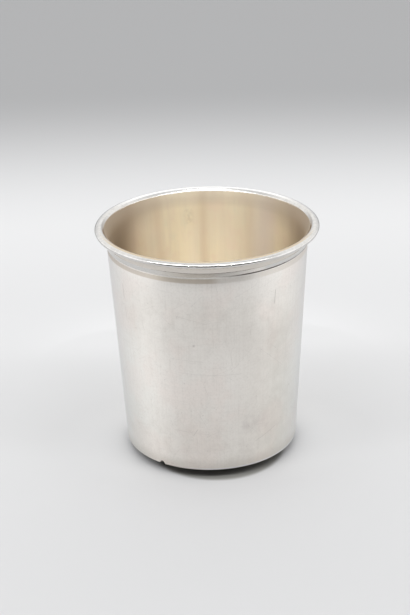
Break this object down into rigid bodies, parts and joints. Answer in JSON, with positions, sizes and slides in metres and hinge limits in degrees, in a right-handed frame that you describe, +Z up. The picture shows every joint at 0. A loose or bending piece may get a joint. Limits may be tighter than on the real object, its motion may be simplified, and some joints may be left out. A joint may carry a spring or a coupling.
{
  "type": "silver tumbler",
  "caption": "Straight-sided silver drinking tumbler with a tapered wall, a moulded flared rim, a gilt inside and an inset flat foot.",
  "frame": {"origin": "centre of the flat standing face under the foot", "axes": "+Z up along the cup's axis, out of the mouth"},
  "size_m": [0.074, 0.074, 0.08],
  "materials": {
    "wall_silver": "satin silver with fine wear scratches",
    "rim_silver": "polished silver",
    "base_silver": "satin silver, rubbed where it stands",
    "solder": "dull tarnished silver solder",
    "gilding": "satin gold wash, worn"
  },
  "bodies": {
    "root": {"wall": "wall_silver", "rim_ring": "rim_silver", "rim_solder": "solder", "base_plate": "base_silver", "base_solder": "solder", "gilt_lining": "gilding"}
  },
  "joints": []
}
